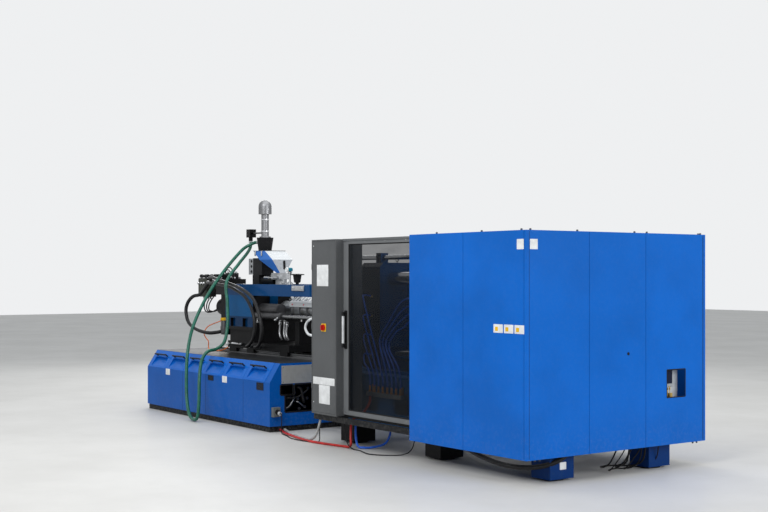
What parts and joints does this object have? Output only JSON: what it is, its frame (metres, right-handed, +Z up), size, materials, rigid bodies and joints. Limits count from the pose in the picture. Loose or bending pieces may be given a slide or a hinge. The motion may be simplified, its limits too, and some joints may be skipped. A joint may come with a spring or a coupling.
{
  "type": "injection moulding machine",
  "caption": "Horizontal hydraulic injection moulding machine with a blue sheet guard, sliding doors, grey column, sloped injection bed, barrel, hopper and vacuum loader",
  "frame": {"origin": "on the floor under the middle of the machine", "axes": "+X from the injection end to the clamp end, the rear side faces -Y, +Z up"},
  "size_m": [7.07, 2.2129, 2.542],
  "materials": {
    "machine_blue": "satin",
    "frame_grey": "satin",
    "black_paint": "matte",
    "cast_dark": "matte",
    "light_grey_paint": "satin",
    "bare_steel": "brushed",
    "polished_steel": "polished",
    "brass": "satin",
    "black_plastic": "matte",
    "red_plastic": "gloss",
    "grey_plastic": "matte",
    "dark_pane": "gloss",
    "black_rubber": "matte",
    "green_hose": "satin"
  },
  "bodies": {
    "machine": {"clamp_bed": "machine_blue", "levelling_pads": "black_rubber", "fixed_platen": "machine_blue", "cylinder_platen": "machine_blue", "tie_bars": "polished_steel", "tie_bar_nuts": "cast_dark", "clamp_cylinder": "cast_dark", "guard_frame": "frame_grey", "rear_side_panels": "machine_blue", "front_side_panels": "machine_blue", "end_panels": "machine_blue", "lubrication_unit": "light_grey_paint", "water_manifold": "brass", "door_rails": "frame_grey", "rear_column": "frame_grey", "front_column": "frame_grey", "operator_panel": "black_plastic", "injection_bed": "machine_blue", "bed_plinth": "black_paint", "bed_covers": "machine_blue", "cover_handles": "black_plastic", "bed_end_plate": "bare_steel", "power_socket": "grey_plastic", "slide_rails": "bare_steel", "carriage_rods": "polished_steel", "hydraulic_pump": "black_paint"},
    "moving_platen": {"moving_platen": "machine_blue", "clamp_ram": "polished_steel", "ejector_cylinders": "black_paint", "safety_bar": "polished_steel"},
    "ejector": {"ejector_plate": "bare_steel"},
    "rear_door": {"rear_door": "frame_grey", "rear_door_pane": "dark_pane", "rear_door_handle": "bare_steel"},
    "front_door": {"front_door": "frame_grey", "front_door_pane": "dark_pane", "front_door_handle": "bare_steel"},
    "isolator_knob": {"isolator_knob": "red_plastic"},
    "stop_button": {"stop_button": "red_plastic"},
    "purge_guard": {"purge_guard": "light_grey_paint"},
    "injection_carriage": {"carriage_base": "black_paint", "injection_housing": "machine_blue", "side_beams": "machine_blue", "barrel": "bare_steel", "heater_bands": "light_grey_paint", "nozzle": "bare_steel", "injection_cylinders": "cast_dark", "carriage_cylinders": "cast_dark", "throat_block": "bare_steel", "hopper": "light_grey_paint", "loader_cup": "black_plastic", "loader_tube": "polished_steel", "feeder_motor": "black_paint", "material_hose": "green_hose"},
    "screw_drive": {"thrust_plate": "black_paint", "screw_motor": "black_paint", "pressure_hoses": "black_rubber"},
    "screw": {"screw": "polished_steel"},
    "barrel_cover": {"barrel_cover": "light_grey_paint"},
    "hopper_gate": {"hopper_gate": "bare_steel"}
  },
  "joints": [
    {"name": "clamp_stroke", "type": "slide", "parent": "machine", "child": "moving_platen", "axis": [1, 0, 0], "range_m": [-0.18, 0.35]},
    {"name": "ejector_stroke", "type": "slide", "parent": "moving_platen", "child": "ejector", "axis": [-1, 0, 0], "range_m": [0, 0.15]},
    {"name": "rear_door_slide", "type": "slide", "parent": "machine", "child": "rear_door", "axis": [1, 0, 0], "range_m": [0, 1.06]},
    {"name": "front_door_slide", "type": "slide", "parent": "machine", "child": "front_door", "axis": [1, 0, 0], "range_m": [0, 1.06]},
    {"name": "isolator_turn", "type": "hinge", "parent": "machine", "child": "isolator_knob", "pos_m": [0.66, -1.045, 1.145], "axis": [0, 1, 0], "range_deg": [0, 90]},
    {"name": "stop_press", "type": "slide", "parent": "machine", "child": "stop_button", "axis": [0, -1, 0], "range_m": [0, 0.006]},
    {"name": "purge_guard_lift", "type": "hinge", "parent": "machine", "child": "purge_guard", "pos_m": [0.505, 0, 1.5], "axis": [0, 1, 0], "range_deg": [0, 75]},
    {"name": "carriage_stroke", "type": "slide", "parent": "machine", "child": "injection_carriage", "axis": [1, 0, 0], "range_m": [-0.25, 0.055]},
    {"name": "screw_stroke", "type": "slide", "parent": "injection_carriage", "child": "screw_drive", "axis": [-1, 0, 0], "range_m": [0, 0.2]},
    {"name": "screw_turn", "type": "hinge", "parent": "screw_drive", "child": "screw", "pos_m": [-2.8, 0, 1.25], "axis": [1, 0, 0], "continuous": true},
    {"name": "barrel_cover_lift", "type": "hinge", "parent": "injection_carriage", "child": "barrel_cover", "pos_m": [-1.1, 0.216, 1.32], "axis": [-1, 0, 0], "range_deg": [0, 60]},
    {"name": "hopper_gate_slide", "type": "slide", "parent": "injection_carriage", "child": "hopper_gate", "axis": [0, 1, 0], "range_m": [0, 0.085]}
  ]
}
